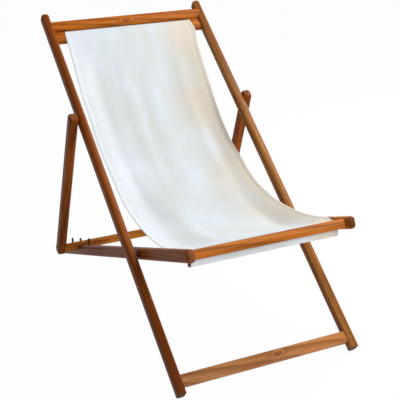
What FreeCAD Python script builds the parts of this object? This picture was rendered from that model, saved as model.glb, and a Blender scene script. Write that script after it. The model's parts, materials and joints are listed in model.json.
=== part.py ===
# A folding sling deck chair: three hinged wooden frames and one loose canvas seat.
# Millimetres. X runs across the chair, the sitter faces -Y, Z is up, the floor is Z = 0.
# Each frame is built flat on its own bench, Y along its rails and Z square to them, and then raised.
import FreeCAD
import Part
import math
import os
from FreeCAD import Vector

# Widths, from the canvas outwards
CANVAS_WIDTH = 430.0
CANVAS_SIDE_GAP = 3.5
RAIL_THICKNESS = 25.0
FRAME_SPACING = 6.5
PROP_SPACING = 1.5

# Rails of the back frame and the seat frame
RAIL_DEPTH = 34.0
RAIL_EDGE_ROUND = 9.5
RAIL_END_ROUND = 10.5
FOOT_EASE = 3.0
FLOOR_TRIM = 0.8

# Back frame, measured along its rail from its square foot end
BACK_ANGLE = 41.6
BACK_RAIL_LENGTH = 1300.0
SEAT_PIVOT_ALONG_BACK = 418.7
PROP_PIVOT_ALONG_BACK = 888.2

# Seat frame, measured along its rail from the seat pivot
SEAT_FRONT_LENGTH = 361.6
SEAT_REAR_LENGTH = 892.0

# Prop frame, measured along its leg from the prop pivot
PROP_HEAD_LENGTH = 22.0
PROP_LEG_LENGTH = 547.0
PROP_BAR_ALONG_LEG = 523.5
PROP_LEG_THICKNESS = 27.0
PROP_LEG_DEPTH = 34.0
PROP_EDGE_ROUND = 8.5
PROP_HEAD_ROUND = 14.0
PROP_FOOT_ROUND = 10.5
PROP_SPLAY = 1.0

# Cross pieces of the back frame
HEAD_RAIL_DIAMETER = 36.0
HEAD_RAIL_FROM_TOP = 49.5
HEAD_SLAT_FACE_RISE = 3.0
FOOT_BOARD_DEPTH = 33.2
FOOT_BOARD_THICKNESS = 20.0
FOOT_BOARD_ALONG_BACK = 37.1
FOOT_BOARD_ROUND = 4.0

# Cross pieces of the seat frame
FRONT_RAIL_DIAMETER = 26.2
FRONT_RAIL_FROM_END = 24.9
REAR_RAIL_DIAMETER = 20.0
REAR_RAIL_PAST_PEG = 71.0

# The slats that hold the canvas, one behind each round cross rail
SLAT_DEPTH = 36.0
SLAT_THICKNESS = 18.0
SLAT_ROUND = 3.0
CANVAS_SLOT = 4.6

# Crossbar of the prop frame, half let over the seat rails
PROP_BAR_DEPTH = 23.5
PROP_BAR_THICKNESS = 18.0
PROP_BAR_ROUND = 3.0
PROP_BAR_SINK = 0.3
PROP_BAR_SLOT_SIDE_GAP = 1.0
PROP_BAR_SEAT_GAP = 0.3

# Recline pegs, set in the top of the seat rails
PEG_DIAMETER = 7.0
PEG_HEIGHT = 21.0
PEG_SEAT_DEPTH = 16.0
PEG_LEAN = 25.0
PEG_FROM_INNER_FACE = 10.0
PEG_PITCH = 100.0
PEG_COUNT = 3
PEG_TIP_ROUND = 1.2

# Joinery. Shoulders are scribed to the rounded rails, as deep as SCRIBE_DEPTH.
SCRIBE_DEPTH = 6.0
SCRIBE_GAP = 0.1
ROUND_TENON_SHARE = 0.62
ROUND_TENON_LENGTH = 15.0
FLAT_TENON_SHOULDER = 4.0
FLAT_TENON_LENGTH = 14.0
PIN_DIAMETER = 4.0
PIN_PAST_CENTRE = 7.0
PIN_SINK = 1.0
GLUE_GAP = 0.05

# Pivot hardware
BOLT_DIAMETER = 8.0
BOLT_HEAD_DIAMETER = 17.0
BOLT_HEAD_HEIGHT = 4.2
BOLT_HEAD_ROUND = 1.6
BOLT_SOCKET_WIDTH = 5.0
BOLT_SOCKET_DEPTH = 2.4
BOLT_PAST_NUT = 1.0
COUNTERBORE_GAP = 1.5
PLUG_THICKNESS = 4.0
PLUG_GAP = 0.4
NUT_SINK = 0.6
NUT_WIDTH = 13.0
NUT_HEIGHT = 6.5
WASHER_DIAMETER = 17.0
WASHER_THICKNESS = 1.6
SPACER_DIAMETER = 18.0
RUNNING_GAP = 0.08
TURNING_GAP = 0.1

# Canvas
CANVAS_THICKNESS = 1.0
CANVAS_CLEARANCE = 0.3
CANVAS_BACK_ANGLE = 55.0
CANVAS_HIP_ANGLE = 26.9
CANVAS_BACK_RADIUS = 585.0
CANVAS_HIP_RADIUS = 609.0
CANVAS_KNEE_RADIUS = 654.0
TOP_ROD_DIAMETER = 12.0
FRONT_ROD_DIAMETER = 10.0
TOP_ROD_PAST_CANVAS = 5.0
FRONT_POCKET_DROP = 20.7
FRONT_ROD_PAST_CANVAS = 1.0
FRONT_ROD_SLIP = 6.0

# Half widths of the layers of rails
canvas_half = CANVAS_WIDTH / 2
seat_inner = canvas_half + CANVAS_SIDE_GAP
seat_outer = seat_inner + RAIL_THICKNESS
back_inner = seat_outer + FRAME_SPACING
back_outer = back_inner + RAIL_THICKNESS
prop_inner = back_outer + PROP_SPACING
prop_outer = prop_inner + PROP_LEG_THICKNESS
rail_half = RAIL_DEPTH / 2

# Both frames stand on the eased lower corners of their square ends, trimmed a little by the floor
back_lean = math.radians(BACK_ANGLE)
eased_half = rail_half - FOOT_EASE
ease_height = FOOT_EASE - FLOOR_TRIM
back_foot_z = eased_half * math.cos(back_lean) - FOOT_EASE * math.sin(back_lean) + ease_height
seat_pivot_y = SEAT_PIVOT_ALONG_BACK * math.cos(back_lean)
seat_pivot_z = SEAT_PIVOT_ALONG_BACK * math.sin(back_lean) + back_foot_z

# The seat frame leans until its rear feet stand on the floor
heel_reach = math.hypot(SEAT_REAR_LENGTH - FOOT_EASE, eased_half)
heel_angle = math.atan2(eased_half, SEAT_REAR_LENGTH - FOOT_EASE)
seat_lean = math.asin((seat_pivot_z - ease_height) / heel_reach) - heel_angle
seat_angle = math.degrees(seat_lean)

# The prop leans until its crossbar lies on the seat rails
prop_pivot_y = PROP_PIVOT_ALONG_BACK * math.cos(back_lean)
prop_pivot_z = PROP_PIVOT_ALONG_BACK * math.sin(back_lean) + back_foot_z
pivot_step_y = prop_pivot_y - seat_pivot_y
pivot_step_z = prop_pivot_z - seat_pivot_z
prop_pivot_in_seat_y = pivot_step_y * math.cos(seat_lean) - pivot_step_z * math.sin(seat_lean)
prop_pivot_in_seat_z = pivot_step_y * math.sin(seat_lean) + pivot_step_z * math.cos(seat_lean)
bar_offset = (PROP_LEG_DEPTH - PROP_BAR_THICKNESS) / 2
bar_reach = math.hypot(PROP_BAR_ALONG_LEG, bar_offset)
bar_turn = math.atan2(bar_offset, PROP_BAR_ALONG_LEG)
bar_drop = prop_pivot_in_seat_z - rail_half + PROP_BAR_SINK
prop_to_seat = math.asin(bar_drop / bar_reach) - bar_turn
prop_angle = math.degrees(prop_to_seat) + seat_angle
bar_in_seat_y = prop_pivot_in_seat_y + bar_reach * math.cos(prop_to_seat + bar_turn)

# Places of the cross pieces on their benches
head_rail_y = BACK_RAIL_LENGTH - HEAD_RAIL_FROM_TOP
head_rail_radius = HEAD_RAIL_DIAMETER / 2
head_slat_top = head_rail_y - head_rail_radius - CANVAS_SLOT
head_slat_y = head_slat_top - SLAT_DEPTH / 2
head_slat_z = HEAD_SLAT_FACE_RISE - SLAT_THICKNESS / 2
front_rail_y = FRONT_RAIL_FROM_END - SEAT_FRONT_LENGTH
front_rail_radius = FRONT_RAIL_DIAMETER / 2
front_slat_edge = front_rail_y + front_rail_radius + CANVAS_SLOT
front_slat_y = front_slat_edge + SLAT_DEPTH / 2

# Recline pegs along the seat rail: the middle one stands just behind the crossbar
bar_edge = bar_in_seat_y + PROP_BAR_THICKNESS / 2 / math.sin(prop_to_seat)
peg_half = PEG_DIAMETER / 2 / math.cos(math.radians(PEG_LEAN))
middle_peg_y = bar_edge + peg_half + PROP_BAR_SEAT_GAP
first_peg_y = middle_peg_y - PEG_PITCH * (PEG_COUNT // 2)
peg_places = [first_peg_y + PEG_PITCH * number for number in range(PEG_COUNT)]
rear_rail_y = peg_places[-1] + REAR_RAIL_PAST_PEG

X_AXIS = Vector(1, 0, 0)
SIDES = (("left", -1), ("right", 1))


def raised(shape, angle, pivot_y, pivot_z):
    """Turn a piece from its bench to its lean about X, and set its origin on the chair."""
    copy = shape.copy()
    copy.Placement = FreeCAD.Placement(Vector(0, pivot_y, pivot_z), FreeCAD.Rotation(X_AXIS, angle))
    return copy


def on_back(shape):
    return raised(shape, BACK_ANGLE, 0, back_foot_z)


def on_seat(shape):
    return raised(shape, -seat_angle, seat_pivot_y, seat_pivot_z)


def on_prop(shape):
    return raised(shape, -prop_angle, prop_pivot_y, prop_pivot_z)


def block(x_low, x_high, y_low, y_high, z_low, z_high):
    return Part.makeBox(x_high - x_low, y_high - y_low, z_high - z_low, Vector(x_low, y_low, z_low))


def rod_x(radius, x_low, x_high, y=0.0, z=0.0):
    return Part.makeCylinder(radius, x_high - x_low, Vector(x_low, y, z), X_AXIS)


def mirrored(shape):
    return shape.mirror(Vector(0, 0, 0), X_AXIS)


def sided(shape, side):
    """The right-hand piece as drawn, or its mirror image for the left."""
    return shape.copy() if side > 0 else mirrored(shape)


def pair(shape):
    return Part.makeCompound([mirrored(shape), shape])


def bar_from_outline(corners, x_low, x_high, edge_round):
    """A bar across X from a side outline of (y, z, corner radius), its rims rounded."""
    loop = [Vector(x_low, y, z) for y, z, _ in corners]
    face = Part.Face(Part.makePolygon(loop + loop[:1]))
    bar = face.extrude(Vector(x_high - x_low, 0, 0))
    for y, z, radius in corners:
        for edge in bar.Edges:
            middle = edge.CenterOfMass
            spans_x = edge.Length > 0.99 * (x_high - x_low)
            if radius and spans_x and math.hypot(middle.y - y, middle.z - z) < radius / 10:
                bar = bar.makeFillet(radius, [edge])
                break
    rims = [e for e in bar.Edges if e.BoundBox.XLength < edge_round / 10]
    return bar.makeFillet(edge_round, rims)


def cut_square(bar, end, waste_end):
    """A bar cut square at one place along it, with the cut's edge eased."""
    low, high = sorted((end, waste_end))
    bar = bar.cut(block(0, 2 * back_outer, low, high, -RAIL_DEPTH, RAIL_DEPTH))
    near = FOOT_EASE / 4
    rim = [e for e in bar.Edges if abs(e.BoundBox.YMin - end) < near and abs(e.BoundBox.YMax - end) < near]
    return bar.makeFillet(FOOT_EASE, rim)


def trimmed_by_floor(bar, angle, pivot_y, pivot_z):
    """A bar cut flat where its lean puts it through the floor."""
    lean = FreeCAD.Placement(Vector(0, pivot_y, pivot_z), FreeCAD.Rotation(X_AXIS, angle))
    below = block(0, 2 * back_outer, -BACK_RAIL_LENGTH, 2 * BACK_RAIL_LENGTH, -BACK_RAIL_LENGTH, 0)
    bar = raised(bar, angle, pivot_y, pivot_z).cut(below)
    bar.Placement = lean.inverse()
    return bar


def rounded_block(x_low, x_high, y, z, depth, thickness, edge_round):
    """A cross slat: a block along X with its four long edges rounded."""
    slat = block(x_low, x_high, y - depth / 2, y + depth / 2, z - thickness / 2, z + thickness / 2)
    long_edges = [e for e in slat.Edges if e.BoundBox.XLength > (x_high - x_low) / 2]
    return slat.makeFillet(edge_round, long_edges)


def rail_stock(inner, thickness, depth, edge_round):
    """A straight length of rounded rail, longer than any rail, its inner face at X = inner."""
    stock = block(inner, inner + thickness, -BACK_RAIL_LENGTH, 2 * BACK_RAIL_LENGTH,
                  -depth / 2, depth / 2)
    long_edges = [e for e in stock.Edges if e.BoundBox.YLength > BACK_RAIL_LENGTH]
    return stock.makeFillet(edge_round, long_edges)


def scribed(piece, inner):
    """A cross piece with its ends cut to the rounded faces of the rails that it meets."""
    stock = rail_stock(inner, RAIL_THICKNESS, RAIL_DEPTH, RAIL_EDGE_ROUND - SCRIBE_GAP)
    return piece.cut([stock, mirrored(stock)])


def round_cross_rail(radius, inner, y):
    """A round rail between two side rails, with a thinner round tenon at each end."""
    shoulder = inner + SCRIBE_DEPTH
    reach = inner + ROUND_TENON_LENGTH
    body = scribed(rod_x(radius, -shoulder, shoulder, y), inner)
    return body.fuse(rod_x(radius * ROUND_TENON_SHARE, -reach, reach, y)).removeSplitter()


def round_mortise(radius, inner, y):
    return rod_x(radius * ROUND_TENON_SHARE + GLUE_GAP, inner, inner + ROUND_TENON_LENGTH + GLUE_GAP, y)


def flat_tenon(inner, y, z, depth, thickness, gap):
    """The square peg on the right-hand end of a slat, grown by a gap for its mortise."""
    half_depth = depth / 2 - FLAT_TENON_SHOULDER + gap
    half_thickness = thickness / 2 - FLAT_TENON_SHOULDER + gap
    reach = inner + FLAT_TENON_LENGTH + gap
    return block(inner, reach, y - half_depth, y + half_depth, z - half_thickness, z + half_thickness)


def cross_slat(inner, y, z, depth, thickness, edge_round):
    shoulder = inner + SCRIBE_DEPTH
    slat = rounded_block(-shoulder, shoulder, y, z, depth, thickness, edge_round)
    slat = scribed(slat, inner)
    tenon = flat_tenon(inner, y, z, depth, thickness, 0)
    return slat.fuse([tenon, mirrored(tenon)]).removeSplitter()


def pin_at(inner, tenon_length, y, z_low, grow=0.0):
    """A locking pin driven square through a rail and the tenon inside it, from its lower edge."""
    x = inner + tenon_length / 2
    foot = z_low - PIN_SINK if grow else z_low + PIN_SINK
    length = PIN_PAST_CENTRE + grow - foot
    return Part.makeCylinder(PIN_DIAMETER / 2 + grow, length, Vector(x, y, foot))


def counterbore_radius(width):
    return width / 2 + COUNTERBORE_GAP


def hexagon(width, height, x):
    """A six-sided prism on the X axis, its width across the flats."""
    radius = width / math.sqrt(3)
    angles = [math.radians(60 * corner) for corner in range(6)]
    points = [Vector(x, radius * math.cos(a), radius * math.sin(a)) for a in angles]
    return Part.Face(Part.makePolygon(points + points[:1])).extrude(Vector(height, 0, 0))


def pivot_bolt(head_face, tip):
    """A pan-head bolt with a six-sided socket, its head's outer face at the larger X."""
    head = rod_x(BOLT_HEAD_DIAMETER / 2, head_face - BOLT_HEAD_HEIGHT, head_face)
    rim = [e for e in head.Edges if e.BoundBox.XMin > head_face - BOLT_HEAD_ROUND]
    head = head.makeFillet(BOLT_HEAD_ROUND, rim)
    socket = hexagon(BOLT_SOCKET_WIDTH, BOLT_SOCKET_DEPTH, head_face - BOLT_SOCKET_DEPTH)
    shank = rod_x(BOLT_DIAMETER / 2, tip, head_face - BOLT_HEAD_HEIGHT)
    return head.fuse(shank).removeSplitter().cut(socket)


def ring(diameter, x_low, x_high):
    hole = rod_x(BOLT_DIAMETER / 2 + GLUE_GAP, x_low, x_high)
    return rod_x(diameter / 2, x_low, x_high).cut(hole)


def hex_nut(x_low):
    blank = hexagon(NUT_WIDTH, NUT_HEIGHT, x_low)
    return blank.cut(rod_x(BOLT_DIAMETER / 2 + GLUE_GAP, x_low, x_low + NUT_HEIGHT))


def moved_along(shape, y):
    copy = shape.copy()
    copy.translate(Vector(0, y, 0))
    return copy


# Each pivot's hardware is drawn about the X axis, right-hand side, and moved to its pivot.
plug_room = PLUG_THICKNESS + PLUG_GAP
nut_stack = NUT_HEIGHT + WASHER_THICKNESS + BOLT_PAST_NUT
head_room = BOLT_HEAD_HEIGHT + plug_room
seat_bolt_head = back_outer - plug_room
seat_nut_room = nut_stack + NUT_SINK
seat_washer_x = seat_inner + seat_nut_room - WASHER_THICKNESS
seat_bolt_tip = seat_inner + NUT_SINK
prop_bolt_head = prop_outer - plug_room
prop_nut_room = nut_stack + plug_room
prop_washer_x = back_inner + prop_nut_room - WASHER_THICKNESS
prop_bolt_tip = back_inner + plug_room


def clear_hole(x_low, x_high, gap):
    return rod_x(BOLT_DIAMETER / 2 + gap, x_low, x_high)


def head_recess(outer):
    return rod_x(counterbore_radius(BOLT_HEAD_DIAMETER), outer - head_room, outer)


def nut_recess(inner, room):
    return rod_x(counterbore_radius(WASHER_DIAMETER), inner, inner + room)


def plug_blank(x_low, x_high):
    """The round of wood that a plug is faired from, to fill a recess of the bolts or the washers."""
    return rod_x(counterbore_radius(WASHER_DIAMETER) - GLUE_GAP, x_low, x_high)


def back_blank():
    """The long rail before its holes: cut square at its foot, rounded at its top."""
    corners = [(-RAIL_DEPTH, rail_half, 0),
               (-RAIL_DEPTH, -rail_half, 0),
               (BACK_RAIL_LENGTH, -rail_half, RAIL_END_ROUND),
               (BACK_RAIL_LENGTH, rail_half, RAIL_END_ROUND)]
    rail = bar_from_outline(corners, back_inner, back_outer, RAIL_EDGE_ROUND)
    return trimmed_by_floor(cut_square(rail, 0, -2 * RAIL_DEPTH), BACK_ANGLE, 0, back_foot_z)


def back_rail(side):
    """The long rail with holes for two pivots and three cross pieces."""
    rail = back_blank()
    seat_holes = [clear_hole(back_inner, back_outer, GLUE_GAP), head_recess(back_outer)]
    prop_holes = [clear_hole(back_inner, back_outer, GLUE_GAP), nut_recess(back_inner, prop_nut_room)]
    cuts = [moved_along(hole, SEAT_PIVOT_ALONG_BACK) for hole in seat_holes]
    cuts += [moved_along(hole, PROP_PIVOT_ALONG_BACK) for hole in prop_holes]
    cuts.append(round_mortise(head_rail_radius, back_inner, head_rail_y))
    cuts.append(flat_tenon(back_inner, head_slat_y, head_slat_z, SLAT_DEPTH, SLAT_THICKNESS, GLUE_GAP))
    cuts.append(flat_tenon(back_inner, FOOT_BOARD_ALONG_BACK, 0,
                           FOOT_BOARD_DEPTH, FOOT_BOARD_THICKNESS, GLUE_GAP))
    cuts += back_pins(GLUE_GAP)
    return on_back(sided(rail.cut(cuts), side))


def back_pins(grow=0.0):
    return [pin_at(back_inner, ROUND_TENON_LENGTH, head_rail_y, -rail_half, grow),
            pin_at(back_inner, FLAT_TENON_LENGTH, head_slat_y, -rail_half, grow),
            pin_at(back_inner, FLAT_TENON_LENGTH, FOOT_BOARD_ALONG_BACK, -rail_half, grow)]


def seat_pins(grow=0.0):
    return [pin_at(seat_inner, ROUND_TENON_LENGTH, front_rail_y, -rail_half, grow),
            pin_at(seat_inner, FLAT_TENON_LENGTH, front_slat_y, -rail_half, grow),
            pin_at(seat_inner, ROUND_TENON_LENGTH, rear_rail_y, -rail_half, grow)]


def both_sides(shapes):
    return list(shapes) + [mirrored(shape) for shape in shapes]


def head_rail():
    rail = round_cross_rail(head_rail_radius, back_inner, head_rail_y)
    return on_back(rail.cut(both_sides(back_pins(GLUE_GAP))))


def head_slat():
    slat = cross_slat(back_inner, head_slat_y, head_slat_z, SLAT_DEPTH, SLAT_THICKNESS, SLAT_ROUND)
    return on_back(slat.cut(both_sides(back_pins(GLUE_GAP))))


def foot_board():
    board = cross_slat(back_inner, FOOT_BOARD_ALONG_BACK, 0,
                       FOOT_BOARD_DEPTH, FOOT_BOARD_THICKNESS, FOOT_BOARD_ROUND)
    return on_back(board.cut(both_sides(back_pins(GLUE_GAP))))


def recline_peg(y, grow=0.0):
    """One round peg, leaning forward, its foot sunk in the rail's top."""
    x = seat_inner + PEG_FROM_INNER_FACE
    lean = math.radians(PEG_LEAN)
    up = Vector(0, -math.sin(lean), math.cos(lean))
    foot = Vector(x, y, rail_half) - up * (PEG_SEAT_DEPTH + grow)
    length = PEG_SEAT_DEPTH + PEG_HEIGHT / math.cos(lean) + grow
    peg = Part.makeCylinder(PEG_DIAMETER / 2 + grow, length, foot, up)
    if grow:
        return peg
    tip = max(peg.Edges, key=lambda e: e.CenterOfMass.z)
    return peg.makeFillet(PEG_TIP_ROUND, [tip])


def seat_rail(side):
    """The seat rail: rounded at its front end, cut square at its rear end."""
    waste_end = SEAT_REAR_LENGTH + RAIL_DEPTH
    corners = [(-SEAT_FRONT_LENGTH, -rail_half, RAIL_END_ROUND),
               (waste_end, -rail_half, 0),
               (waste_end, rail_half, 0),
               (-SEAT_FRONT_LENGTH, rail_half, RAIL_END_ROUND)]
    rail = bar_from_outline(corners, seat_inner, seat_outer, RAIL_EDGE_ROUND)
    rail = cut_square(rail, SEAT_REAR_LENGTH, waste_end + RAIL_DEPTH)
    rail = trimmed_by_floor(rail, -seat_angle, seat_pivot_y, seat_pivot_z)
    cuts = [clear_hole(seat_inner, seat_outer, RUNNING_GAP), nut_recess(seat_inner, seat_nut_room)]
    cuts.append(round_mortise(front_rail_radius, seat_inner, front_rail_y))
    cuts.append(round_mortise(REAR_RAIL_DIAMETER / 2, seat_inner, rear_rail_y))
    cuts.append(flat_tenon(seat_inner, front_slat_y, 0, SLAT_DEPTH, SLAT_THICKNESS, GLUE_GAP))
    cuts += [recline_peg(y, GLUE_GAP) for y in peg_places]
    cuts += seat_pins(GLUE_GAP)
    return on_seat(sided(rail.cut(cuts), side))


def front_rail():
    rail = round_cross_rail(front_rail_radius, seat_inner, front_rail_y)
    return on_seat(rail.cut(both_sides(seat_pins(GLUE_GAP))))


def front_slat():
    slat = cross_slat(seat_inner, front_slat_y, 0, SLAT_DEPTH, SLAT_THICKNESS, SLAT_ROUND)
    return on_seat(slat.cut(both_sides(seat_pins(GLUE_GAP))))


def rear_rail():
    rail = round_cross_rail(REAR_RAIL_DIAMETER / 2, seat_inner, rear_rail_y)
    return on_seat(rail.cut(both_sides(seat_pins(GLUE_GAP))))


def splayed(shape):
    """Turn a right-hand piece outwards about the prop pivot, in the plane of the prop frame."""
    copy = shape.copy()
    copy.rotate(Vector((prop_inner + prop_outer) / 2, 0, 0), Vector(0, 0, 1), -PROP_SPLAY)
    return copy


bar_z = -bar_offset
bar_low_y = PROP_BAR_ALONG_LEG - PROP_BAR_DEPTH / 2


def prop_tenon(gap):
    """The square tenon on the right-hand end of the crossbar, out to a share of the leg."""
    inner = prop_inner + PROP_BAR_ALONG_LEG * math.tan(math.radians(PROP_SPLAY))
    root = inner - FLAT_TENON_LENGTH
    tenon = flat_tenon(inner, PROP_BAR_ALONG_LEG, bar_z, PROP_BAR_DEPTH, PROP_BAR_THICKNESS, gap)
    bounds = tenon.BoundBox
    return block(root, bounds.XMax, bounds.YMin, bounds.YMax, bounds.ZMin, bounds.ZMax)


def prop_pin(grow=0.0):
    inner = prop_inner + PROP_BAR_ALONG_LEG * math.tan(math.radians(PROP_SPLAY))
    return pin_at(inner, FLAT_TENON_LENGTH, PROP_BAR_ALONG_LEG, -PROP_LEG_DEPTH / 2, grow)


def prop_blank():
    """The prop leg before its holes: rounded at both ends and splayed outwards."""
    half = PROP_LEG_DEPTH / 2
    corners = [(-PROP_HEAD_LENGTH, -half, PROP_HEAD_ROUND),
               (PROP_LEG_LENGTH, -half, PROP_FOOT_ROUND),
               (PROP_LEG_LENGTH, half, PROP_FOOT_ROUND),
               (-PROP_HEAD_LENGTH, half, PROP_HEAD_ROUND)]
    return splayed(bar_from_outline(corners, prop_inner, prop_outer, PROP_EDGE_ROUND))


def prop_leg(side):
    """The prop leg, with a flat seat for the spacer at its pivot."""
    leg = prop_blank()
    spacer_seat = rod_x(SPACER_DIAMETER / 2 + COUNTERBORE_GAP, back_outer, prop_inner)
    cuts = [clear_hole(back_outer, prop_outer, RUNNING_GAP), head_recess(prop_outer),
            moved_out(head_recess(prop_outer)), spacer_seat, prop_tenon(GLUE_GAP), prop_pin(GLUE_GAP)]
    return on_prop(sided(leg.cut(cuts), side))


def moved_out(shape):
    """A recess repeated outwards, so that it opens through a face that leans away."""
    copy = shape.copy()
    copy.translate(Vector(head_room, 0, 0))
    return copy


def prop_crossbar():
    """The crossbar between the splayed legs, slotted below so that it drops over both seat rails."""
    reach = prop_outer + PROP_LEG_LENGTH * math.tan(math.radians(PROP_SPLAY))
    bar = rounded_block(-reach, reach, PROP_BAR_ALONG_LEG, bar_z,
                        PROP_BAR_DEPTH, PROP_BAR_THICKNESS, PROP_BAR_ROUND)
    beyond = splayed(block(prop_inner + SCRIBE_DEPTH, prop_inner + 2 * reach, 0, 2 * PROP_LEG_LENGTH,
                           -PROP_LEG_DEPTH, PROP_LEG_DEPTH))
    leg = splayed(rail_stock(prop_inner, PROP_LEG_THICKNESS, PROP_LEG_DEPTH, PROP_EDGE_ROUND - SCRIBE_GAP))
    tenon = prop_tenon(0)
    bar = bar.cut([beyond, mirrored(beyond), leg, mirrored(leg)])
    bar = bar.fuse([tenon, mirrored(tenon)]).removeSplitter()
    slot_low = seat_inner - PROP_BAR_SLOT_SIDE_GAP
    slot_high = seat_outer + PROP_BAR_SLOT_SIDE_GAP
    rail_room = block(slot_low, slot_high, 0, SEAT_REAR_LENGTH,
                      -RAIL_DEPTH, rail_half + PROP_BAR_SEAT_GAP)
    rail_room = on_seat(rail_room)
    placed = on_prop(bar.cut(both_sides([prop_pin(GLUE_GAP)])))
    return placed.cut([rail_room, mirrored(rail_room)])


def heading(angle):
    """The unit vector that runs forward and down the canvas at this slope, in degrees."""
    return Vector(0, -math.cos(math.radians(angle)), -math.sin(math.radians(angle)))


def upper_side(angle):
    """The unit vector square to that slope, towards the sitter."""
    return Vector(0, -math.sin(math.radians(angle)), math.cos(math.radians(angle)))


def arc_by(start, centre, turn):
    """An arc in the YZ plane from a start point about a centre, by a turn about X in degrees."""
    spin = FreeCAD.Rotation(X_AXIS, turn)
    half_spin = FreeCAD.Rotation(X_AXIS, turn / 2)
    arm = start - centre
    end = centre + spin.multVec(arm)
    return Part.Arc(start, centre + half_spin.multVec(arm), end).toShape(), end


def bend(start, angle_from, angle_to, radius):
    """An arc that runs on from one slope to another, its centre above the canvas."""
    centre = start + upper_side(angle_from) * radius
    return arc_by(start, centre, angle_to - angle_from)


def to_chair(y, z, raise_it):
    """A point on a frame's bench, as it lies on the raised chair."""
    return raise_it(Part.Vertex(Vector(0, y, z))).Point


sheet_lift = CANVAS_CLEARANCE + CANVAS_THICKNESS / 2
slat_bend = SLAT_ROUND + sheet_lift
top_loop = TOP_ROD_DIAMETER / 2 + sheet_lift
front_loop = FRONT_ROD_DIAMETER / 2 + sheet_lift
top_rod_y = head_slat_top + sheet_lift - top_loop
top_rod_z = HEAD_SLAT_FACE_RISE - SLAT_THICKNESS - top_loop - sheet_lift


def front_rod_middle():
    """The middle of the rod that hangs from the front slat, straight below the canvas's last bend."""
    corner = to_chair(front_slat_edge + SLAT_ROUND, SLAT_ROUND - SLAT_THICKNESS / 2, on_seat)
    return corner + Vector(0, front_loop - slat_bend, -FRONT_POCKET_DROP)


def canvas_path():
    """The canvas from its top pocket, over the head slat, down the hang and to its front pocket."""
    edges = []
    face_z = HEAD_SLAT_FACE_RISE
    corner_y = head_slat_top - SLAT_ROUND
    foot_y = head_slat_top - SLAT_DEPTH + SLAT_ROUND
    start = to_chair(head_slat_top + sheet_lift, top_rod_z, on_back)
    over = to_chair(head_slat_top + sheet_lift, face_z - SLAT_ROUND, on_back)
    edges.append(Part.makeLine(start, over))
    corner = to_chair(corner_y, face_z - SLAT_ROUND, on_back)
    arc, point = arc_by(over, corner, 90)
    edges.append(arc)
    lower = to_chair(foot_y, face_z + sheet_lift, on_back)
    edges.append(Part.makeLine(point, lower))
    arc, top = arc_by(lower, to_chair(foot_y, face_z - SLAT_ROUND, on_back),
                      CANVAS_BACK_ANGLE - BACK_ANGLE)
    edges.append(arc)
    rear_top = to_chair(front_slat_edge + SLAT_DEPTH - SLAT_ROUND,
                        SLAT_THICKNESS / 2 + sheet_lift, on_seat)
    slopes = [CANVAS_BACK_ANGLE, CANVAS_HIP_ANGLE, 0, -seat_angle]
    radii = [CANVAS_BACK_RADIUS, CANVAS_HIP_RADIUS, CANVAS_KNEE_RADIUS]
    travel = Vector(0, 0, 0)
    for slope, following, radius in zip(slopes, slopes[1:], radii):
        travel += bend(Vector(0, 0, 0), slope, following, radius)[1]
    first, last = straight_runs(rear_top - top - travel, heading(slopes[0]), heading(slopes[-1]))
    point = top + heading(slopes[0]) * first
    edges.append(Part.makeLine(top, point))
    for slope, following, radius in zip(slopes, slopes[1:], radii):
        arc, point = bend(point, slope, following, radius)
        edges.append(arc)
    brow = to_chair(front_slat_edge + SLAT_ROUND, SLAT_THICKNESS / 2 + sheet_lift, on_seat)
    edges.append(Part.makeLine(point, brow))
    centre = to_chair(front_slat_edge + SLAT_ROUND, SLAT_THICKNESS / 2 - SLAT_ROUND, on_seat)
    arc, point = arc_by(brow, centre, 90)
    edges.append(arc)
    chin = to_chair(front_slat_edge - sheet_lift, SLAT_ROUND - SLAT_THICKNESS / 2, on_seat)
    edges.append(Part.makeLine(point, chin))
    corner = to_chair(front_slat_edge + SLAT_ROUND, SLAT_ROUND - SLAT_THICKNESS / 2, on_seat)
    arc, point = arc_by(chin, corner, seat_angle)
    edges.append(arc)
    edges.append(Part.makeLine(point, point - Vector(0, 0, FRONT_POCKET_DROP)))
    print("canvas length with its runs over the slats", round(sum(e.Length for e in edges), 1))
    print("straight runs at the top and the front", round(first, 1), round(last, 1))
    return Part.Wire(edges)


def straight_runs(gap, first_way, last_way):
    """How far the canvas runs straight at its top and at its front, so that its bends meet."""
    determinant = first_way.y * last_way.z - first_way.z * last_way.y
    first = (gap.y * last_way.z - gap.z * last_way.y) / determinant
    last = (first_way.y * gap.z - first_way.z * gap.y) / determinant
    return first, last


def pocket(radius, middle):
    """The sewn loop that holds a rod, as a tube across the canvas."""
    tube = rod_x(radius + CANVAS_THICKNESS / 2, -canvas_half, canvas_half, middle.y, middle.z)
    hollow = rod_x(radius - CANVAS_THICKNESS / 2, -canvas_half, canvas_half, middle.y, middle.z)
    return tube.cut(hollow)


def sling():
    path = canvas_path()
    outer = path.makeOffset2D(CANVAS_THICKNESS / 2, openResult=True)
    sheet = outer.makeOffset2D(-CANVAS_THICKNESS, fill=True, openResult=True)
    sheet.translate(Vector(-canvas_half, 0, 0))
    sheet = sheet.extrude(Vector(CANVAS_WIDTH, 0, 0))
    loops = [pocket(top_loop, to_chair(top_rod_y, top_rod_z, on_back)),
             pocket(front_loop, front_rod_middle())]
    rods = [sling_top_rod(CANVAS_CLEARANCE), sling_front_rod(CANVAS_CLEARANCE)]
    return sheet.fuse(loops).cut(rods).removeSplitter()


def sling_top_rod(grow=0.0):
    reach = canvas_half + TOP_ROD_PAST_CANVAS
    return on_back(rod_x(TOP_ROD_DIAMETER / 2 + grow, -reach, reach, top_rod_y, top_rod_z))


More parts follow.
